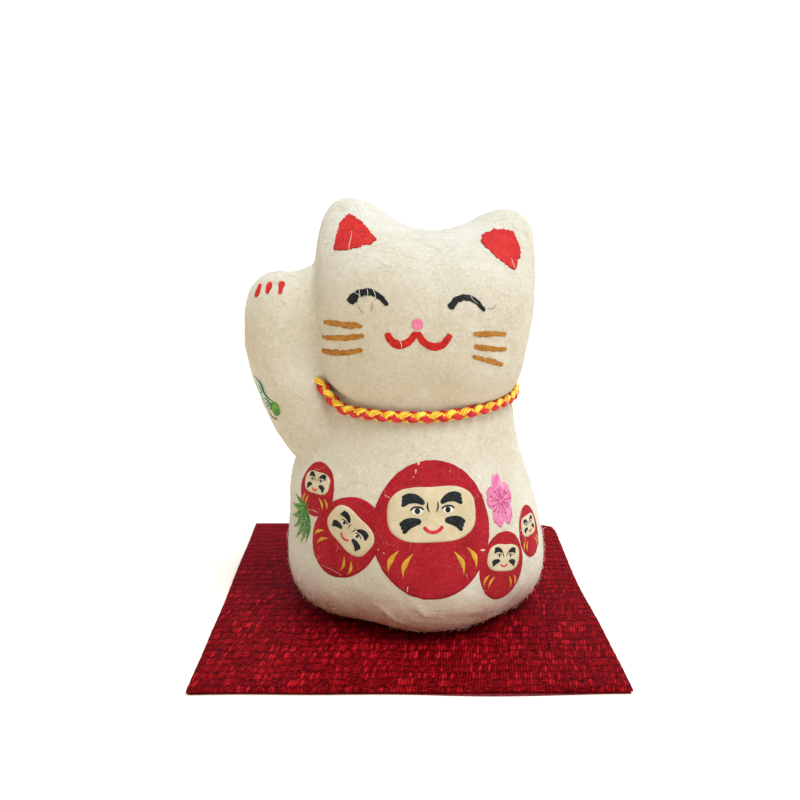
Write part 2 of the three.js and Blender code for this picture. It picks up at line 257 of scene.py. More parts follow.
def cloth_material():
    """Crepe-woven rayon, dyed crimson: short slanting threads with painted shade in the gaps between them,
    and uneven bands of dye.

    Light passes through the dyed filaments, so what glints is red; the glints are painted into the colour.
    """
    made, tree = new_material("crepe_rayon_cloth", Roughness=0.6, Specular_IOR_Level=0.015)
    thread = add(tree, "ShaderNodeVertexColor", layer_name="thread").outputs["Color"]
    split = add(tree, "ShaderNodeSeparateColor", {"Color": thread})
    # The raised threads are light and the gaps between them near black: painted shade in the gaps.
    tone = ramp(tree, split.outputs["Red"], (0.0, "#160002"), (0.42, "#6a050a"), (1.0, "#b31018"))
    bands = mottle(tree, 8, detail=5, roughness=0.65, vector=position(tree, stretch=(0.6, 1.5, 1)))
    tone = blend_colours(tree, ramp(tree, bands, (0.42, 0.0), (0.68, 0.6)), tone, "#65060c")
    # Painted glints: short bright red dashes on the threads.
    tone = blend_colours(tree, split.outputs["Green"], tone, "#d4242a")
    filaments = mottle(tree, 0.3, detail=3, vector=position(tree, stretch=(3, 0.5, 1)))
    # Painted shade in small pits, and painted glints in small bright spots.
    pit_shade_and_glints = mottle(tree, 0.5, detail=2, roughness=0.7, vector=position(tree, stretch=(0.6, 2, 1)))
    tone = blend_colours(tree, ramp(tree, pit_shade_and_glints, (0.36, 0.6), (0.5, 0.0)), tone, "#1e0003")
    tone = blend_colours(tree, ramp(tree, pit_shade_and_glints, (0.55, 0.0), (0.7, 0.6)), tone, "#c81a22")
    return dressed(made, tone, bump(tree, filaments, 0.06))


def cloth_edge_material():
    """The folded edge of the same cloth, pressed flat and in shade."""
    made, tree = new_material("crepe_rayon_fold", Roughness=0.7, IOR=1.5, Specular_IOR_Level=0.2)
    tone = ramp(tree, mottle(tree, 0.8, detail=4), (0.3, "#4a0810"), (0.7, "#94242b"))
    return dressed(made, tone, bump(tree, mottle(tree, 0.4), 0.08))


def yarn_material(name, dark, mid, light):
    """Braided rayon yarn: fine filaments that lie along each strand, with a silky gloss."""
    made, tree = new_material(name, Roughness=0.45, IOR=1.5, Specular_IOR_Level=0.35)
    along = add(tree, "ShaderNodeUVMap", uv_map="UVMap").outputs["UV"]
    # The UV map holds mm along the strand and turns round it, so 9 filaments show round a strand.
    place = add(tree, "ShaderNodeMapping", {"Vector": along, "Scale": (0.35, 9, 1)}).outputs["Vector"]
    links = {"Vector": place, "Scale": 0.32, "Distortion": 1.2, "Detail": 2}
    lines = add(tree, "ShaderNodeTexWave", links, bands_direction="DIAGONAL").outputs["Fac"]
    tone = ramp(tree, lines, (0.0, dark), (0.4, mid), (0.9, light))
    return dressed(made, tone, bump(tree, lines, 0.04))


def pulp_material():
    """Moulded paper pulp, dried rough."""
    made, tree = new_material("moulded_paper_pulp", Roughness=1.0)
    tone = ramp(tree, mottle(tree, 1.5, detail=6), (0.3, "#9a8f7c"), (0.7, "#c9bfac"))
    return dressed(made, tone, bump(tree, mottle(tree, 0.8, detail=6), 0.3))


def card_material():
    """Plain brown card with a short grain."""
    made, tree = new_material("brown_card", Roughness=0.9)
    grain = mottle(tree, 1.2, detail=5, vector=position(tree, stretch=(0.4, 2, 1)))
    return dressed(made, ramp(tree, grain, (0.3, "#9c8055"), (0.7, "#b89a6c")))


def clay_material():
    """Air-dried clay, pressed in by hand."""
    made, tree = new_material("air_dried_clay", Roughness=0.95)
    tone = ramp(tree, mottle(tree, 2.5, detail=5), (0.3, "#7d6a58"), (0.7, "#a08c76"))
    return dressed(made, tone, bump(tree, mottle(tree, 1.2, detail=5), 0.3))


# ---- mesh helpers
def new_grid(columns, rows, place):
    """A grid of faces, each corner moved to place(u, v), with u and v from 0 to 1 kept as its UV map."""
    bm = bmesh.new()
    bmesh.ops.create_grid(bm, x_segments=columns, y_segments=rows, size=0.5)
    layer = bm.loops.layers.uv.new("UVMap")
    for face in bm.faces:
        for loop in face.loops:
            loop[layer].uv = (loop.vert.co.x + 0.5, loop.vert.co.y + 0.5)
    for vertex in bm.verts:
        vertex.co = place(vertex.co.x + 0.5, vertex.co.y + 0.5)
    return bm


def joined(parts):
    """Several bmeshes as one."""
    whole = bmesh.new()
    for part in parts:
        mesh = bpy.data.meshes.new("part")
        part.to_mesh(mesh)
        part.free()
        whole.from_mesh(mesh)
        bpy.data.meshes.remove(mesh)
    return whole


def new_object(name, bm, material=None):
    """The object of a form made in millimetres, in metres and smooth-shaded. It uses the form up."""
    bmesh.ops.scale(bm, vec=(MM, MM, MM), verts=bm.verts)
    mesh = bpy.data.meshes.new(name)
    bm.to_mesh(mesh)
    bm.free()
    if material:
        mesh.materials.append(material)
    mesh.polygons.foreach_set("use_smooth", [True] * len(mesh.polygons))
    made = bpy.data.objects.new(name, mesh)
    bpy.context.scene.collection.objects.link(made)
    return made


def finish_piece(name, bm, material, body="cat", replaces=()):
    """Makes the object with its material, and tells the frame what it is."""
    made = new_object(name, bm, material)
    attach(made, body)
    if replaces:
        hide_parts(*replaces)
    return made


# ---- the cat's skin
def gauss(distance, width):
    """A smooth bell: 1 at no distance, and dying out past the width."""
    return math.exp(-((distance / width) ** 2))


BASE_HOLE = 13.5  # mm from the middle, past the edge of the hole under the base
VOXEL = 0.5
SMOOTHINGS = 50


def outer_wall(bm):
    """Keeps only the outer wall of the skin, closed across the base."""
    bmesh.ops.remove_doubles(bm, verts=bm.verts, dist=0.001)
    middles = {f: f.calc_center_median() for f in bm.faces if abs(f.normal.z) < 0.2}
    rim = [
        f for f, p in middles.items()
        if p.z < CAT_FOOT + 0.5 and math.hypot(p.x - CAT_X, p.y) < BASE_HOLE
    ]
    bmesh.ops.delete(bm, geom=rim, context="FACES")
    top = max(bm.verts, key=lambda v: v.co.z)
    reached, to_follow = {top}, [top]
    while to_follow:
        vertex = to_follow.pop()
        for edge in vertex.link_edges:
            other = edge.other_vert(vertex)
            if other not in reached:
                reached.add(other)
                to_follow.append(other)
    bmesh.ops.delete(bm, geom=[v for v in bm.verts if v not in reached], context="VERTS")
    bmesh.ops.holes_fill(bm, edges=bm.edges, sides=0)


def remeshed(bm):
    """The closed form as an even mesh, smoothed until the flats of the CAD solid are gone."""
    made = new_object("skin_form", bm)
    mesh = made.data
    remesh = made.modifiers.new("remesh", "REMESH")
    remesh.mode = "VOXEL"
    remesh.voxel_size = VOXEL * MM
    soften = made.modifiers.new("soften", "SMOOTH")
    soften.factor = 0.5
    soften.iterations = SMOOTHINGS
    graph = bpy.context.evaluated_depsgraph_get()
    evaluated = bpy.data.meshes.new_from_object(made.evaluated_get(graph))
    bpy.data.objects.remove(made)
    bpy.data.meshes.remove(mesh)
    even = bmesh.new()
    even.from_mesh(evaluated)
    bpy.data.meshes.remove(evaluated)
    bmesh.ops.scale(even, vec=(1 / MM, 1 / MM, 1 / MM), verts=even.verts)
    return even


# Folds in the front of the paper: two ends, in mm across and up, and how high each stands.
FOLDS = (
    ((-6.2, 9.0), (-1.6, 5.6), 0.6),
    ((0.6, 9.8), (3.6, 7.8), 0.3),
    ((-15.5, 84.2), (-11.0, 85.6), 0.3),
    ((10.0, 7.8), (15.0, 7.2), 0.15),
)


def fold(p, start, end, high):
    """A pinched fold: a ridge with a groove under it, that dies out at both ends."""
    if p.y > 0:
        return 0
    along = Vector(end) - Vector(start)
    away = Vector((p.x, p.z)) - (Vector(start) + Vector(end)) / 2
    t = away.dot(along.normalized())
    d = along.normalized().cross(away)
    wave = d + 0.25 * math.sin(t * 1.3)
    return high * (gauss(wave - 0.4, 0.55) - 0.9 * gauss(wave + 0.75, 0.6)) * gauss(t, along.length * 0.5)


def paper_relief(p):
    """How far the pasted paper stands out: hand-shaped lumps, torn sheet edges and small wrinkles."""
    lumps = 0.32 * noise.noise(p / 13) + 0.12 * noise.noise(p / 5 + Vector((7, 0, 0)))
    wrinkles = 0.06 * noise.noise(p / 1.9 + Vector((0, 9, 0)))
    cell = noise.voronoi(p / 15 + Vector((3, 1, 2)), distance_metric="DISTANCE", exponent=2.5)[0]
    torn = 0.09 * gauss(cell[1] - cell[0], 0.035)
    return lumps + wrinkles + torn + sum(fold(p, *line) for line in FOLDS)


def make_skin(material):
    """The paper skin, with its relief. Returns a tree of its faces, to lay things on."""
    source = NODES["washi_skin"]
    bm = bmesh.new()
    bm.from_mesh(source.data)
    bm.transform(Matrix.Scale(1 / MM, 4) @ source.matrix_world)
    outer_wall(bm)
    bm = remeshed(bm)
    bm.normal_update()
    for vertex, normal in [(v, v.normal.copy()) for v in bm.verts]:
        p = vertex.co
        off_floor = min(1, max(0, (p.z - CAT_FOOT - 0.6) / 3))
        vertex.co = p + normal * (0.12 + paper_relief(p)) * off_floor
    bm.normal_update()
    tree = BVHTree.FromBMesh(bm)
    finish_piece("washi_skin_paper", bm, material, replaces=["washi_skin"])
    return tree


# ---- laying things on the skin
class Spot:
    """A place on the skin, met from outside along a direction, with its own level frame."""

    def __init__(self, skin, start, direction, tilt=0):
        self.skin = skin
        hit = skin.ray_cast(Vector(start), Vector(direction).normalized())[0]
        # The average way out round the spot, so that one small lump doesn't turn it.
        around = skin.find_nearest_range(hit, 3.5)
        self.face(hit, sum((n for _, n, *_ in around), Vector()).normalized(), tilt)

    def face(self, hit, out, tilt=0):
        """Sets the spot's middle and frame, from the way out of the skin."""
        side = Vector((0, 0, 1)).cross(out).normalized()
        up = out.cross(side)
        turn = math.radians(tilt)
        self.x = side * math.cos(turn) + up * math.sin(turn)
        self.y = up * math.cos(turn) - side * math.sin(turn)
        self.out = out
        self.hit = hit

    def lay(self, x, y, lift):
        """The place on the skin under a flat point, lifted off it."""
        start = self.hit + self.x * x + self.y * y + self.out * 12
        hit, normal, *_ = self.skin.ray_cast(start, -self.out, 60)
        if hit is None or normal.dot(self.out) < 0.05:
            hit, normal, *_ = self.skin.find_nearest(start - self.out * 12)
        return hit + normal * lift


def on_belly(skin, degrees, z, tilt=0):
    """A spot at an angle round from the front, at a height above the mat."""
    turn = math.radians(degrees)
    way = Vector((math.sin(turn), -math.cos(turn), 0))
    centre = Vector((CAT_X, 0, MAT_TOP + z))
    return Spot(skin, centre + way * 60, -way, tilt)


def on_front(skin):
    """The whole front of the cat seen straight on, with its flat points in mm across and above the mat."""
    front = on_belly(skin, 0, 60)
    front.face(Vector((0, -30, MAT_TOP)), Vector((0, -1, 0)))
    return front


FILM = 0.12  # thickness of a laid film, most of it sunk in the paper

# How far each layer stands off the skin.
PRINT, PAINT, OVERPRINT, DOT, EYE_PRINT, TOP_PRINT = 0.05, 0.07, 0.085, 0.1, 0.105, 0.125


def film(bm, spot, lift):
    """A flat shape laid on the skin and given its thickness."""
    for vertex in bm.verts:
        vertex.co = spot.lay(vertex.co.x, vertex.co.y, lift)
    bmesh.ops.remove_doubles(bm, verts=bm.verts, dist=0.004)
    bmesh.ops.recalc_face_normals(bm, faces=bm.faces)
    lower = bmesh.ops.extrude_face_region(bm, geom=bm.faces[:], use_keep_orig=True)["geom"]
    lower = [g for g in lower if isinstance(g, bmesh.types.BMVert)]
    bmesh.ops.translate(bm, vec=spot.out * -FILM, verts=lower)
    bmesh.ops.recalc_face_normals(bm, faces=bm.faces)
    return bm


def lay_film(name, shapes, spot, lift, ink, replaces=()):
    """A printed or painted piece: one or several flat shapes, laid on the skin as one film."""
    shape = joined(shapes) if isinstance(shapes, list) else shapes
    finish_piece(name, film(shape, spot, lift), ink, replaces=replaces)


def ragged(angle, amount, seed, step=9):
    """A little unevenness of a hand-cut or painted outline."""
    return 1 + amount * noise.noise(Vector((math.cos(angle) * step, math.sin(angle) * step, seed)))


def patch(reach, size, rough=0.0, seed=0, around=72, spacing=0.55):
    """A flat filled shape. Reach gives its outline as a share of its half width and height at each angle."""
    rings = max(2, math.ceil(max(size) / 2 / spacing))

    def place(u, v):
        angle = u * 2 * math.pi
        r = reach(angle) * (1 + (ragged(angle, rough, seed) - 1) * v) * v / 2
        return Vector((r * size[0] * math.cos(angle), r * size[1] * math.sin(angle), 0))

    bm = new_grid(around, rings, place)
    bmesh.ops.remove_doubles(bm, verts=bm.verts, dist=1e-4)
    return bm


def on_curve(points, t):
    """A point at share t along a smooth curve through points."""
    count = len(points) - 1
    i = min(int(t * count), count - 1)
    s = t * count - i
    p = [Vector(points[max(0, min(count, i + k))]) for k in (-1, 0, 1, 2)]
    return 0.5 * (
        2 * p[1]
        + (p[2] - p[0]) * s
        + (2 * p[0] - 5 * p[1] + 4 * p[2] - p[3]) * s**2
        + (3 * p[1] - p[0] - 3 * p[2] + p[3]) * s**3
    )


def stroke(points, width, ends=(1, 1), rough=0.05, seed=0, spacing=0.35):
    """A brush stroke along a flat curve.

    Width is in mm, or a function of the share of its length. Ends says how blunt each end is, 0 for a point.
    """
    points = [Vector((*p, 0)) for p in points]
    length = sum((b - a).length for a, b in zip(points, points[1:]))
    wide = width if callable(width) else lambda t: width
    columns = max(8, math.ceil(length / spacing))

    def place(u, v):
        here = on_curve(points, u)
        along = (on_curve(points, min(1, u + 0.01)) - on_curve(points, max(0, u - 0.01))).normalized()
        across = Vector((-along.y, along.x, 0))
        full = wide(u) / 2
        shape = 1.0
        for end, share in ((ends[0], u), (ends[1], 1 - u)):
            reach = share * length / max(full * 1.1, 1e-3)
            if end and reach < 1:
                shape *= math.sqrt(max(0, 1 - (1 - reach) ** 2)) * end + (1 - end) * reach
            elif not end:
                shape *= min(1, share * 2.2) ** 0.8
        wave = 1 + rough * 2 * noise.noise(here * 1.6 + Vector((seed, 0, 3 if v > 0.5 else 8)))
        return here + across * (v - 0.5) * 2 * full * shape * wave

    bm = new_grid(columns, 4, place)
    bmesh.ops.remove_doubles(bm, verts=bm.verts, dist=1e-4)
    return bm


def moved(bm, x=0.0, y=0.0, turn=0.0, mirror=False):
    """A flat shape mirrored, turned and moved in its own plane."""
    if mirror:
        bmesh.ops.scale(bm, vec=(-1, 1, 1), verts=bm.verts)
        bmesh.ops.reverse_faces(bm, faces=bm.faces)
    bmesh.ops.rotate(bm, matrix=Matrix.Rotation(math.radians(turn), 3, "Z"), verts=bm.verts)
    bmesh.ops.translate(bm, vec=(x, y, 0), verts=bm.verts)
    return bm


# ---- printed dolls
def doll_outline(angle):
    """A round-shouldered tumbler doll: a little narrower at the top, and flat under the foot."""
    return 1 - 0.045 * math.sin(angle) - 0.03 * max(0, -math.sin(angle)) ** 6


def window_outline(angle):
    """The opening in the hood: a wide rounded box, higher at its sides."""
    c, s = abs(math.cos(angle)), abs(math.sin(angle))
    box = (c**2.9 + s**2.9) ** (-1 / 2.9)
    return box * (1 - 0.05 * gauss(angle - math.pi / 2, 0.35) - 0.03 * gauss(angle - 1.5 * math.pi, 0.4))


def tuft(points, width, spread):
    """A brush tuft: three commas that start as one and part at the fat end."""
    points = [Vector(p) for p in points]
    long = points[-1] - points[0]
    across = Vector((-long.y, long.x)).normalized() * spread / (len(points) - 1)

    def wide(t):
        return width * (0.45 + 0.55 * math.sin(math.pi * min(1, 0.12 + 0.8 * t)))

    return [
        stroke([p + across * k * i for i, p in enumerate(points)], wide, ends=(0.4, 1), rough=0.03, seed=k)
        for k in (-1, 0, 1)
    ]


def disc(width, height, around, spacing=0.3):
    """A plain round or oval dot."""
    return patch(lambda angle: 1, (width, height), around=around, spacing=spacing)


PRINTED = []  # the dolls laid so far, which the standing fibres keep clear of


def doll(spot, w, h, name, inks):
    """One printed doll: red robe, pale face window, brows, beard and gold strokes, each a thin film."""
    PRINTED.append((spot, w, h))
    face_w, face_h, face_y = 0.75 * w, 0.4 * h, 0.1 * h
    u = face_w / 10

    def sized(*points):
        return [(x * u, y * u) for x, y in points]

    dark, pale, gold = [], [], []
    for side in (1, -1):
        brow = tuft(sized((0.9, 1.2), (1.7, 1.75), (2.6, 1.85), (3.4, 1.45)), 0.62 * u, 0.44 * u)
        beard = tuft(sized((1.3, -0.7), (2.1, -0.75), (2.9, -1.0), (3.5, -1.6)), 0.66 * u, 0.48 * u)
        frown = stroke(sized((0.35, 0.2), (0.6, 0.8), (0.55, 1.5)), 0.22 * u, ends=(0, 0), rough=0)
        lid = stroke(sized((1.0, 0.55), (1.4, 0.85), (2.1, 0.85), (2.5, 0.5)), 0.2 * u, rough=0)
        dark += [moved(line, mirror=side < 0, y=face_y) for line in (*brow, *beard, frown, lid)]
        dark.append(moved(disc(0.62 * u, 0.66 * u, 20), x=side * 1.72 * u, y=face_y + 0.45 * u))
        pale.append(moved(disc(1.3 * u, 0.85 * u, 24), x=side * 1.75 * u, y=face_y + 0.45 * u))
        for out, down, long in ((0.22, 0.26, 1.1), (0.335, 0.23, 1.0)):
            line = [(-0.05, 0.085 * long), (0.005, 0.035), (0.035, -0.025), (0.035, -0.09 * long)]
            crease = stroke(
                [(x * w, y * h) for x, y in line],
                lambda t: 0.045 * w * math.sin(math.pi * min(1, 0.1 + t)) ** 0.8 + 0.05,
                ends=(0, 0), rough=0.04, seed=out,
            )
            gold.append(moved(moved(crease, x=out * w, y=-down * h), mirror=side < 0))
    smile = stroke(sized((-1.1, 0.3), (-0.6, -0.2), (0, -0.38), (0.6, -0.2), (1.1, 0.3)), 0.4 * u, rough=0.02)

    robe = patch(doll_outline, (w, h), rough=0.012, seed=w)
    window = moved(patch(window_outline, (face_w, face_h), rough=0.01, seed=h), y=face_y)
    mouth = moved(smile, y=face_y - 1.6 * u)
    printed = f"{name}_doll_print"
    node = f"print_daruma_{name}"
    lay_film(f"{printed}_robe", robe, spot, PRINT, inks["red"], replaces=[node])
    lay_film(f"{printed}_face", window, spot, OVERPRINT, inks["cream"])
    lay_film(f"{printed}_eyes", pale, spot, EYE_PRINT, inks["white"])
    lay_film(f"{printed}_brows", dark, spot, TOP_PRINT, inks["black"])
    lay_film(f"{printed}_gold", gold, spot, OVERPRINT, inks["gold"])
    lay_film(f"{printed}_mouth", mouth, spot, TOP_PRINT, inks["lip"])


# ---- flower and leaf prints
def petals(angle):
    """Five round petals, each with a notched tip."""
    petal = 2 * math.pi / 5
    across = (angle - math.pi / 2 + petal / 2) % petal - petal / 2
    round_tip = abs(math.cos(2.5 * (angle - math.pi / 2))) ** 0.75
    return 0.66 + 0.32 * round_tip - 0.07 * gauss(across, 0.1)


def plum(spot, width, height, inks):
    """A plum flower, with a spray of stamens."""
    bloom = patch(petals, (width, height), rough=0.02, seed=4, around=100)
    lines = []
    stamens = 15
    for i in range(stamens):
        angle = i / stamens * 360 + dice.uniform(-6, 6)
        reach = (0.30 if i % 3 else 0.36) * min(width, height)
        line = stroke([(0.4, 0), (reach * 0.6, 0.05), (reach, 0)], 0.16, rough=0)
        lines += [moved(line, turn=angle), moved(moved(disc(0.42, 0.42, 10), x=reach), turn=angle)]
    node = "print_plum_flower"
    lay_film("plum_print_petals", bloom, spot, PRINT, inks["pink"], replaces=[node])
    lay_film("plum_print_stamens", lines, spot, OVERPRINT, inks["rose"])


def leaf(length, width, bend=0.08):
    """A slim pointed leaf, bent a little."""
    return stroke(
        [(0, 0), (length * 0.35, length * bend), (length * 0.7, length * bend), (length, 0)],
        lambda t: width * math.sin(math.pi * (0.02 + 0.97 * t) ** 0.95) + 0.06,
        ends=(0, 0), rough=0.02,
    )


def bamboo(spot, inks):
    """A fan of bamboo leaves that hangs from one point, each with a dark vein."""
    fan = (
        (-92, 8.4, 1.3), (-105, 9.8, 1.5), (-119, 10.2, 1.55), (-134, 10.0, 1.5),
        (-149, 9.4, 1.45), (-165, 8.0, 1.3), (-184, 6.0, 1.1),
    )
    leaves = [moved(leaf(length, width), turn=turn) for turn, length, width in fan]
    veins = [moved(leaf(length * 0.9, 0.22), turn=turn) for turn, length, _ in fan]
    node = "print_bamboo_leaves"
    lay_film("bamboo_print_leaves", leaves, spot, PRINT, inks["green"], replaces=[node])
    lay_film("bamboo_print_veins", veins, spot, OVERPRINT, inks["dark_green"])


def cloud(angle):
    """A low five-lobed cloud."""
    return 0.84 + 0.16 * abs(math.cos(2.5 * angle)) ** 0.6


def pine(spot, inks):
    """A pine branch: two pale clouds of needles with curled outlines, a green leaf and a bit of twig."""
    clouds = [
        moved(patch(cloud, size, rough=0.03, seed=x), x=x, y=y)
        for x, y, *size in ((-1.5, 2.0, 3.8, 4.6), (-0.5, -1.2, 3.8, 3.5))
    ]
    green_leaf = patch(lambda angle: 1 - 0.12 * math.sin(angle), (2.3, 3.3), rough=0.04, seed=6)
    upper_curl = [(-2.8, 4.6), (-1.5, 4.1), (-0.6, 2.8), (-0.3, 1.2), (0.8, 0.2), (1.7, -0.2)]
    lower_curl = [(-1.6, -0.1), (-0.3, 0.1), (0.6, -0.9), (0.2, -2.2), (-0.8, -2.3)]
    lines = [
        stroke(upper_curl, swell(0.3, 0.65), ends=(0, 0)),
        stroke([(-2.3, 2.9), (-1.4, 2.6), (-1.2, 1.6), (-2.0, 1.0)], 0.28, ends=(0, 1)),
        stroke(lower_curl, swell(0.25, 0.5), ends=(0, 0)),
        stroke([(-1.1, -0.9), (-0.3, -0.8), (-0.2, -1.6), (-0.9, -1.6)], 0.26, ends=(0, 1)),
    ]
    twig = stroke([(-1.0, -2.9), (-0.2, -4.1), (1.3, -4.3)], swell(0.25, 0.45, 0.7), ends=(0, 1))
    node = "print_pine_sprig"
    lay_film("pine_print_clouds", clouds, spot, PRINT, inks["mint"], replaces=[node])
    green_leaf = moved(green_leaf, turn=-12, x=1.6, y=-1.7)
    lay_film("pine_print_leaf", green_leaf, spot, PAINT, inks["green"])
    lay_film("pine_print_lines", lines, spot, OVERPRINT, inks["dark_green"])
    lay_film("pine_print_twig", twig, spot, PAINT, inks["twig"])


# ---- the painted face
def swell(low, high, peak=0.5, power=0.8):
    """A width that grows from low at the ends to high at the peak."""
    def width(t):
        side = t / peak if t < peak else (1 - t) / (1 - peak)
        return low + (high - low) * max(0, side) ** power
    return width


LEFT_EYE = [(-11.1, 66.2), (-10.2, 67.4), (-8.2, 68.5), (-5.9, 67.9), (-4.0, 66.1)]
RIGHT_EYE = [(7.1, 65.6), (8.5, 67.1), (10.4, 67.5), (12.2, 66.7), (13.7, 64.9)]
LEFT_LIP = [(-4.2, 61.2), (-3.5, 59.7), (-1.9, 58.9), (-0.2, 59.6), (1.3, 61.4)]
RIGHT_LIP = [(1.3, 61.4), (2.6, 59.4), (4.4, 58.6), (6.2, 59.2), (7.4, 61.0)]
# Each whisker and claw: its points, its least and greatest width, and where along it that is.
WHISKERS = (
    ([(-16.4, 62.0), (-13.2, 62.2), (-8.7, 62.1)], 0.8, 1.25, 0.7),
    ([(-16.8, 59.0), (-13.0, 59.5), (-8.4, 60.4)], 0.7, 1.15, 0.7),
    ([(-17.0, 56.2), (-14.6, 56.4), (-12.0, 56.8), (-8.7, 57.7)], 0.8, 1.25, 0.35),
    ([(11.6, 60.8), (15.2, 60.7), (18.2, 60.3)], 0.8, 1.05, 0.3),
    ([(11.8, 58.5), (15.0, 57.9), (18.4, 57.4)], 0.75, 1.1, 0.3),
    ([(11.6, 56.7), (15.0, 55.5), (17.8, 54.4)], 0.7, 1.05, 0.5),
)
CLAWS = (
    ([(-29.8, 66.3), (-29.2, 67.6), (-28.8, 68.9)], 0.55, 0.95, 0.5),
    ([(-27.4, 67.1), (-27.1, 68.2), (-26.8, 69.3)], 0.55, 1.2, 0.6),
    ([(-24.8, 67.0), (-24.7, 68.4), (-24.4, 69.4)], 0.45, 1.25, 0.8),
)
LEFT_EAR = [
    (-12.6, 81.5), (-11.0, 81.9), (-6.3, 77.7), (-8.2, 76.6), (-14.0, 75.3), (-14.3, 76.2), (-13.6, 79.2),
]
RIGHT_EAR = [(13.3, 77.2), (15.6, 78.9), (19.0, 79.1), (20.4, 78.4), (21.5, 75.0), (20.6, 73.6), (19.6, 71.9)]


def paint_face(skin, paints):
    """Brushed on by hand, in mm across and above the mat: eyes, nose, mouth, whiskers, ears and claws."""
    eyes = [
        stroke(LEFT_EYE, lambda t: 1.8 - 1.1 * t, ends=(0.9, 0.3), rough=0.22, seed=1),
        stroke(RIGHT_EYE, lambda t: 1.4 - 0.7 * t, ends=(0.8, 0.3), rough=0.22, seed=2),
    ]
    nose = moved(patch(lambda a: 1, (2.1, 2.1), rough=0.06, seed=3, around=28, spacing=0.4), x=1.35, y=62.8)
    mouth = [
        stroke(LEFT_LIP, lambda t: 1.6 - 0.45 * abs(2 * t - 0.9), rough=0.12, seed=5),
        stroke(RIGHT_LIP, lambda t: 1.55 - 0.4 * abs(2 * t - 1), rough=0.12, seed=6),
    ]
    whiskers = [
        stroke(line, swell(*wide), rough=0.25, seed=7 + i) for i, (line, *wide) in enumerate(WHISKERS)
    ]
    ears = [ear_paint(LEFT_EAR, 21), ear_paint(RIGHT_EAR, 22)]
    claws = [stroke(line, swell(*wide), rough=0.15, seed=13 + i) for i, (line, *wide) in enumerate(CLAWS)]
    front = on_front(skin)
    for name, shapes, lift, paint in (
        ("eyes", eyes, PAINT, "black"), ("nose", nose, DOT, "nose"), ("mouth", mouth, PAINT, "red"),
        ("whiskers", whiskers, PAINT, "ochre"), ("ears", ears, PAINT, "red"), ("claws", claws, PAINT, "red"),
    ):
        lay_film(f"painted_{name}", shapes, front, lift, paints[paint])


PALE_FIBRES = (
    [(-11.0, 78.9), (-11.1, 77.6), (-11.4, 76.4), (-11.3, 75.4)], [(19.4, 74.0), (19.6, 73.0), (19.9, 72.2)],
    [(-9.6, 69.6), (-9.2, 68.2), (-9.5, 66.6)], [(-8.0, 69.4), (-7.7, 68.2), (-8.0, 67.0)],
    [(-6.9, 69.2), (-6.3, 67.9), (-6.4, 66.9)], [(-10.6, 68.4), (-9.6, 68.0), (-8.6, 67.4)],
    [(10.9, 68.2), (11.4, 67.2), (12.4, 66.4)], [(-2.2, 60.2), (-1.6, 59.2), (-1.5, 58.4)],
)
DARK_FIBRES = (
    [(-9.6, 66.2), (-9.2, 65.2), (-8.4, 64.6)], [(-7.0, 66.8), (-6.9, 65.6), (-7.1, 64.9)],
    [(14.2, 65.6), (15.2, 65.4), (15.8, 66.0)],
)


def stray_fibres(name, skin, lines, radius, material):
    """Single fibres of the paper that show across the paint, in mm across and above the mat."""
    front, steps = on_front(skin), 8

    def laid(line):
        points = [on_curve([(*p, 0) for p in line], i / steps) for i in range(steps + 1)]
        return thin_tube([front.lay(p.x, p.y, DOT) for p in points], radius)

    finish_piece(name, joined([laid(line) for line in lines]), material)


def ear_paint(corners, seed):
    """The red inside of an ear: a rounded patch through its corners."""
    centre = sum((Vector(c) for c in corners), Vector((0, 0))) / len(corners)
    spokes = [Vector(c) - centre for c in corners]
    polar = sorted((math.atan2(spoke.y, spoke.x), spoke.length) for spoke in spokes)
    closing = (polar[0][0] + 2 * math.pi, polar[0][1])

    def reach(angle):
        """How far the side between two corners is from the centre, bulged a little between them."""
        a = (angle + math.pi) % (2 * math.pi) - math.pi
        if a < polar[0][0]:
            a += 2 * math.pi
        (a0, r0), (a1, r1) = next(pair for pair in zip(polar, polar[1:] + [closing]) if pair[1][0] >= a)
        straight = r0 * r1 * math.sin(a1 - a0) / (r0 * math.sin(a - a0) + r1 * math.sin(a1 - a))
        return straight * (1 + 0.1 * math.sin(math.pi * (a - a0) / (a1 - a0)))

    return moved(patch(reach, (2, 2), rough=0.13, seed=seed, around=90, spacing=0.12), x=centre.x, y=centre.y)


# ---- fibres
def lay_fibres(name, skin, material, count, low, high, length, free):
    """Loose fibres of the paper, curved on the skin. Free is the share with an end that stands off it."""
    parts = []
    steps = 6
    foot = 2.6  # how high up the fibres start
    low, high = Vector(low), Vector(high)
    while len(parts) < count:
        start = Vector([dice.uniform(a, b) for a, b in zip(low, high)])
        hit, normal, *_ = skin.find_nearest(start)
        if hit.z < foot or not low.z < hit.z < high.z or (free > 0.5 and printed_over(hit)):
            continue
        way = normal.cross(Vector([dice.gauss(0, 1) for _ in range(3)])).normalized()
        long = dice.uniform(*length)
        turn = dice.gauss(0, 0.16)
        radius = dice.uniform(0.016, 0.032)
        stands = dice.random() < free
        over = 0.12 if stands or dice.random() < 0.03 else 0.03
        path = [hit + normal * over]
        for i in range(steps):
            way = (Matrix.Rotation(turn + dice.gauss(0, 0.1), 3, normal) @ way).normalized()
            ahead = path[-1] + way * (long / steps)
            near, normal, *_ = skin.find_nearest(ahead)
            lift = over + (long * 0.07 * max(0, i - 1) if stands else 0)
            path.append(near + normal * lift)
            way = (way - normal * way.dot(normal)).normalized()
        parts.append(thin_tube(path, radius))
    finish_piece(name, joined(parts), material)


def printed_over(point):
    """Whether a place on the skin lies under a print."""
    edge = 0.28  # a quarter is the print's own outline

    def covers(spot, w, h):
        away = point - spot.hit
        return away.length < h and (away.dot(spot.x) / w) ** 2 + (away.dot(spot.y) / h) ** 2 < edge

    return any(covers(*laid) for laid in PRINTED)


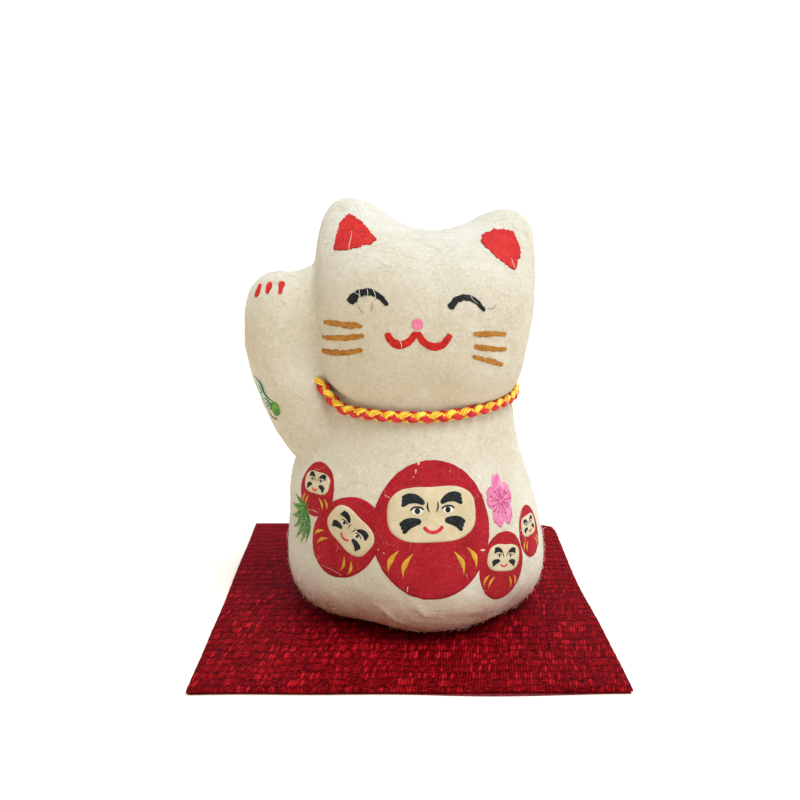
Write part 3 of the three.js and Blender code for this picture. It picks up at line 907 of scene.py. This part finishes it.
def thin_tube(path, radius):
    """A three-sided tube that tapers to points."""
    last = len(path) - 1

    def place(u, v):
        i = round(u * last)
        along = heading(path, i)
        side = along.orthogonal().normalized()
        up = along.cross(side)
        r = radius * math.sin(math.pi * (0.04 + 0.92 * u)) ** 0.5
        a = v * 2 * math.pi
        return path[i] + (side * math.cos(a) + up * math.sin(a)) * r

    bm = new_grid(last, 3, place)
    bmesh.ops.remove_doubles(bm, verts=bm.verts, dist=1e-4)
    bmesh.ops.holes_fill(bm, edges=bm.edges, sides=4)
    return bm


# ---- the collar
NECK_RADIUS, NECK_DEPTH, NECK_Z = 20.4, 0.95, 44.6


def loop_point(angle):
    """The collar's middle line round the neck, from the front. It climbs over the root of the raised arm."""
    if angle > 0:
        rise = 1.3 * (1 - gauss(angle, 0.75)) + 0.9 * gauss(angle - 1.75, 0.35)
    else:
        rise = 1 - gauss(angle + 0.3, 1.2) + 5.2 * math.exp(-(((angle + 1.42) / 0.47) ** 4))
    r = NECK_RADIUS + 1.3 * gauss(angle + 1.25, 0.4)
    over_arm = 2.9 * gauss(angle + 1.22, 0.24)
    y = -r * NECK_DEPTH * math.cos(angle) - over_arm
    return Vector((CAT_X + r * math.sin(angle), y, CAT_FOOT + NECK_Z + rise))


# One end's way through the knot and down, in mm from the middle of the neck's back.
KNOT = (
    (3.4, -0.2, 0.1), (1.6, 0.5, 0.7), (-0.6, 1.3, 0.6), (-1.5, 1.7, -0.5), (-0.3, 1.9, -1.5),
    (1.3, 1.5, -2.6), (2.6, 1.5, -4.6), (3.2, 1.9, -7.4),
)


def collar_path():
    """The cord from one end, through the knot, round the neck and through the knot again."""
    back = loop_point(math.pi)
    first = [back + Vector((-x, y + 0.35, z)) for x, y, z in reversed(KNOT)]
    for p in first[4:]:
        p.z += 0.25
    last = [back + Vector(p) for p in KNOT]
    gap, steps = 4.6 / NECK_RADIUS, 60
    around = [loop_point((math.pi - gap) * (2 * i / steps - 1)) for i in range(steps + 1)]
    return first + around + last


def even_path(points, spacing):
    """The smooth curve through points, at even steps."""
    count = len(points) * 24
    dense = [on_curve(points, i / count) for i in range(count + 1)]
    steps, travelled, made = 0.0, 0.0, [dense[0]]
    for a, b in zip(dense, dense[1:]):
        travelled += (b - a).length
        if travelled - steps >= spacing:
            steps += spacing
            made.append(b)
    return made


PLAIT = 6.2  # mm along the cord for one full turn of a strand
TWIST = -0.26  # how far the cord has rolled forward round the neck
STRAND_THICK, STRAND_WIDE = 0.432, 0.66  # half sizes of a flattened strand


def heading(path, i):
    """The way a path runs at its point i."""
    return (path[min(i + 1, len(path) - 1)] - path[max(i - 1, 0)]).normalized()


def braid(path, hand, phases):
    """Strands that wind round the cord one way, over one and under one of those that wind the other way."""
    last = len(path) - 1
    frames = []
    out = Vector((0, 1, 0))
    for i, p in enumerate(path):
        along = heading(path, i)
        out = (out - along * out.dot(along)).normalized()
        frames.append((p, out.copy(), out.cross(along)))
    parts = []
    spacing = (path[1] - path[0]).length

    def centre(i, phase):
        p, out, up = frames[i]
        turn = hand * 2 * math.pi * i * spacing / PLAIT + phase
        turn += 0.235 * math.sin(4 * turn)  # each strand runs straight where it shows, then crosses quickly
        level = 0.5 + hand * 0.3 * math.sin(2 * turn)  # over one strand and under the next
        turn += TWIST
        return p + (out * math.cos(turn) + up * math.sin(turn)) * level

    for phase in phases:
        line = [centre(i, phase) for i in range(last + 1)]

        def place(u, v):
            i = round(u * last)
            along = heading(line, i)
            side = along.cross((line[i] - frames[i][0]).normalized()).normalized()
            out = side.cross(along)
            a = v * 2 * math.pi
            close = math.sin(math.pi * min(0.5, min(i, last - i) * spacing / 1.2 + 0.12))
            return line[i] + (out * math.cos(a) * STRAND_THICK + side * math.sin(a) * STRAND_WIDE) * close

        bm = new_grid(last, 8, place)
        layer = bm.loops.layers.uv["UVMap"]
        for face in bm.faces:
            for loop in face.loops:
                loop[layer].uv.x *= last * spacing
        bmesh.ops.remove_doubles(bm, verts=bm.verts, dist=1e-4)
        bmesh.ops.holes_fill(bm, edges=bm.edges, sides=8)
        parts.append(bm)
    return joined(parts)


def make_collar(gold, red):
    """The braided cord: two gold strands wound one way, and two red ones wound the other."""
    path = even_path(collar_path(), 0.3)
    half, quarter = math.pi, math.pi / 2
    finish_piece(
        "collar_gold_strands", braid(path, 1, (0.0, half)), gold,
        replaces=["collar_cord", "collar_knot", "collar_tail_left", "collar_tail_right"],
    )
    finish_piece("collar_red_strands", braid(path, -1, (quarter, quarter + half)), red)


# ---- the mat
SIDE = 80
HALF = SIDE / 2
ROW, THREAD = 2.45, 0.56  # the pitch of the rows, and of the threads in a row


def wobble(x, y, z):
    """Smooth noise at a place, about -0.5 to 0.5."""
    return noise.noise(Vector((x, y, z)))


def mat_outline(x, y):
    """The mat's sides are a little uneven, and one rear corner is rounded off."""
    pinch = 0.9 * gauss(y - 6, 20) if x > 0 else 0
    px = x * (1 - (pinch + 0.25 * wobble(0.06 * y, 2, x * 0.01) + 0.15) / HALF)
    py = y * (1 - (0.25 * wobble(3, 0.06 * x, y * 0.01) + 0.15) / HALF)
    over = max(0, (x / HALF) ** 2 + (y / HALF) ** 2 - 1.72) if x > 0 and y > 0 else 0
    return px - over * 2.4, py - over * 9


def thread_height(x, y):
    """Height of the weave, and its painted glint: wavy rows of short slanting threads, no two the same."""
    row = y / ROW + 0.42 * wobble(x / 6, y / 7, 0) + 0.22 * wobble(x / 1.1, y / 5, 5)
    line = math.floor(row)
    slant = 0.7 + 0.6 * wobble(x / 9, line * 1.7, 4)
    column = x / THREAD + 0.5 * (line % 2) + 0.6 * wobble(line * 3.1, x / 8, 0.5) - slant * (row - line - 0.5)
    thread = math.floor(column)
    across = abs(column - thread - 0.5) * 2
    along = abs(row - line - 0.5) * 2
    presence = 0.5 + 0.9 * wobble(thread * 7.31 + 0.4, line * 5.73 + 0.3, 1)
    patchy = 0.75 + 0.5 * wobble(x / 6, y / 6, 7)
    lump = (1 - across**1.7) * (1 - 0.85 * along**4)
    pressed = max(0, min(1, (y + 14) / 34))  # the back of the mat is pressed smoother
    # The painted glint: brightness that stands in for light caught on the threads, fewer at the back.
    painted_glint = max(0, presence * patchy - 0.42) * (1.9 - 1.4 * pressed) * (1 - across**1.5) * (1 - along**2)
    presence += (0.78 - presence) * 0.6 * pressed
    return lump * (0.35 + 0.65 * presence), min(1, max(0, painted_glint))


def lay_cloth(name, bm, material, hem, replaces):
    """Turns a cloth's edge down and under in (down, inward) steps."""
    rim = [e for e in bm.edges if e.is_boundary]
    for down, inward in hem:
        made = bmesh.ops.extrude_edge_only(bm, edges=rim)["geom"]
        corners = [g for g in made if isinstance(g, bmesh.types.BMVert)]
        rim = [g for g in made if isinstance(g, bmesh.types.BMEdge)]
        bmesh.ops.translate(bm, vec=(0, 0, -down), verts=corners)
        shrink = 1 - inward / HALF
        bmesh.ops.scale(bm, vec=(shrink, shrink, 1), verts=corners)
    bmesh.ops.recalc_face_normals(bm, faces=bm.faces)
    made = finish_piece(name, bm, material, body="mat", replaces=replaces)


def edge_roll(x, y):
    """How far a cloth's edge rolls down."""
    return 0.18 * gauss(min(HALF - abs(x), HALF - abs(y)), 0.5)


def make_top_cloth(material):
    """The crepe cloth that the cat stands on, with its threads raised but pressed flat under the cat."""
    relief = 0.22

    def place(u, v):
        x, y = (u - 0.5) * SIDE, (v - 0.5) * SIDE
        px, py = mat_outline(x, y)
        height, _ = thread_height(x, y)
        clear_of_cat = 1 - gauss(max(0, math.hypot(x - CAT_X, y) - 22), 4)
        z = MAT_TOP - edge_roll(x, y) + (height - 0.9) * relief * clear_of_cat - 0.03 * relief
        return Vector((px, py, z))

    bm = new_grid(430, 215, place)
    layer = bm.verts.layers.float_color.new("thread")
    uv = bm.loops.layers.uv["UVMap"]
    # Each point keeps its height, which the colour darkens in the gaps as painted shade, and its painted
    # glint.
    for vertex in bm.verts:
        u, v = vertex.link_loops[0][uv].uv
        height, painted_glint = thread_height((u - 0.5) * SIDE, (v - 0.5) * SIDE)
        vertex[layer] = (height, painted_glint, 0, 1)
    hem = [(0.25, -0.05), (0.3, 0.05), (0.08, 0.9)]
    lay_cloth("mat_top_crepe", bm, material, hem, ["mat_top_cloth"])


def make_under_cloth(material):
    """The plain cloth below, a hair smaller, which has slipped out a little at the front right."""
    top, inset = 0.34, 0.25

    def place(u, v):
        x, y = (u - 0.5) * SIDE, (v - 0.5) * SIDE
        px, py = mat_outline(x, y)
        smaller = 1 - inset / HALF
        slip = 0.65 * gauss(x - 17, 14) * max(0, -y / HALF) ** 6
        return Vector((px * smaller, py * smaller - slip, top - edge_roll(x, y)))

    hem = [(0.06, -0.1), (0.08, 0.1), (0.0, 3)]
    lay_cloth("mat_under_crepe", new_grid(40, 40, place), material, hem, ["mat_under_cloth"])


# ---- build
def make_paints():
    """The brush paints of the face: dense, and a little glossier than the paper."""
    return {
        "black": ink_material("carbon_black_paint", "#0c0c10", "#17171c", "#2b2b31", roughness=0.6),
        "red": ink_material("vermilion_paint", "#a3120d", "#bf1d14", "#cf2c1d", size_mm=1.8, roughness=0.65),
        "nose": ink_material("pink_gouache", "#d8688a", "#e3809c", "#eb98ae", roughness=0.7),
        "ochre": ink_material("ochre_paint", "#8a5420", "#a86e26", "#bf8634", size_mm=1.2, roughness=0.7),
    }


def make_inks():
    """The inks of the printed paper: thin and flat, each mottled at the size of its own print."""
    # Dark, middle and light tone, the size of the mottling in mm, and the roughness where it isn't plain.
    looks = {
        "red": ("crimson", "#8c1018", "#a01620", "#ac1e29", 4),
        "cream": ("cream", "#bfad85", "#cab993", "#d3c5a4", 4),
        "white": ("white", "#d9d2bf", "#e6e1d2", "#efebdf", 2),
        "black": ("black", "#101416", "#1b2022", "#2a3033", 2),
        "lip": ("scarlet", "#b3252a", "#c93236", "#d84646", 2),
        "gold": ("gold", "#b5831f", "#cf9c2c", "#dfb244", 1.5, 0.6),
        "pink": ("pink", "#c4608a", "#d27a9a", "#dc98ac", 1.6),
        "rose": ("rose", "#9c2f5c", "#ad3c6a", "#b84f78", 1),
        "green": ("leaf", "#356c30", "#5d8f3b", "#8bb062", 1.6),
        "mint": ("mint", "#94a890", "#b3c2ab", "#ccd3bf", 1.4),
        "twig": ("brown", "#5e4a3a", "#75604c", "#8a745e", 1.4),
        "dark_green": ("pine", "#1f4a30", "#2f5c3c", "#44724f", 1.2),
    }
    return {key: ink_material(f"{name}_print_ink", *look) for key, (name, *look) in looks.items()}


def make_prints(skin, inks):
    """The printed cut-outs round the belly, and the pine sprig on the raised arm."""
    doll(on_belly(skin, 6.2, 24.2), 22.8, 27.2, "large", inks)
    doll(on_belly(skin, -34, 21.2, tilt=-38), 14.0, 18.6, "tilted", inks)
    doll(on_belly(skin, -53, 29.2, tilt=4), 10.6, 11.0, "upper", inks)
    doll(on_belly(skin, 39.5, 15.0, tilt=-14), 11.4, 13.8, "small", inks)
    doll(on_belly(skin, 61, 19.2, tilt=-2), 8.6, 10.8, "side", inks)
    plum(on_belly(skin, 43, 27.2), 7.6, 11.4, inks)
    bamboo(on_belly(skin, -56.5, 25.6), inks)
    pine(Spot(skin, (-60.5, -39.5, MAT_TOP + 46.0), (1, 0.9, 0)), inks)


def finish_inner_parts(washi):
    """What is carried over from CAD: the parts inside the cat and the mat."""
    pulp, card = pulp_material(), card_material()
    inner = {
        "shell_front": pulp, "shell_rear": pulp, "joint_strip": washi, "base_disc": card,
        "base_washi": washi, "ballast": clay_material(), "mat_liner": card,
    }
    for name, material in inner.items():
        NODES[name].data.materials.clear()
        NODES[name].data.materials.append(material)


def build():
    make_camera()
    make_world()
    bpy.context.scene.view_settings.view_transform = "Standard"
    make_sun("key", (0.3, -0.26, 0.92), 2.5, 28, (0.85, 0.925, 1.0))
    make_floor()

    washi, fibre = washi_material(), fibre_material()
    bark = ink_material("bark_fibre", "#4a3018", "#6a4526", "#8a6238", size_mm=1)
    skin = make_skin(washi)
    paint_face(skin, make_paints())
    make_prints(skin, make_inks())
    stray_fibres("pale_stray_fibres", skin, PALE_FIBRES, 0.06, fibre)
    stray_fibres("dark_stray_fibres", skin, DARK_FIBRES, 0.05, bark)
    share = 1
    lay_fibres("kozo_fibres", skin, fibre, int(1400 * share), (-36, -28, 2), (32, 28, 88), (2.5, 8), 0.03)
    lay_fibres("kozo_fuzz", skin, fibre, int(1600 * share), (-32, -28, 2), (32, 28, 24), (0.6, 1.8), 0.9)

    make_collar(
        yarn_material("gold_rayon_yarn", "#d9920e", "#efb71f", "#f9dc4a"),
        yarn_material("red_rayon_yarn", "#a00e16", "#c8181f", "#dd2c2c"),
    )
    make_top_cloth(cloth_material())
    make_under_cloth(cloth_edge_material())
    finish_inner_parts(washi)


build()
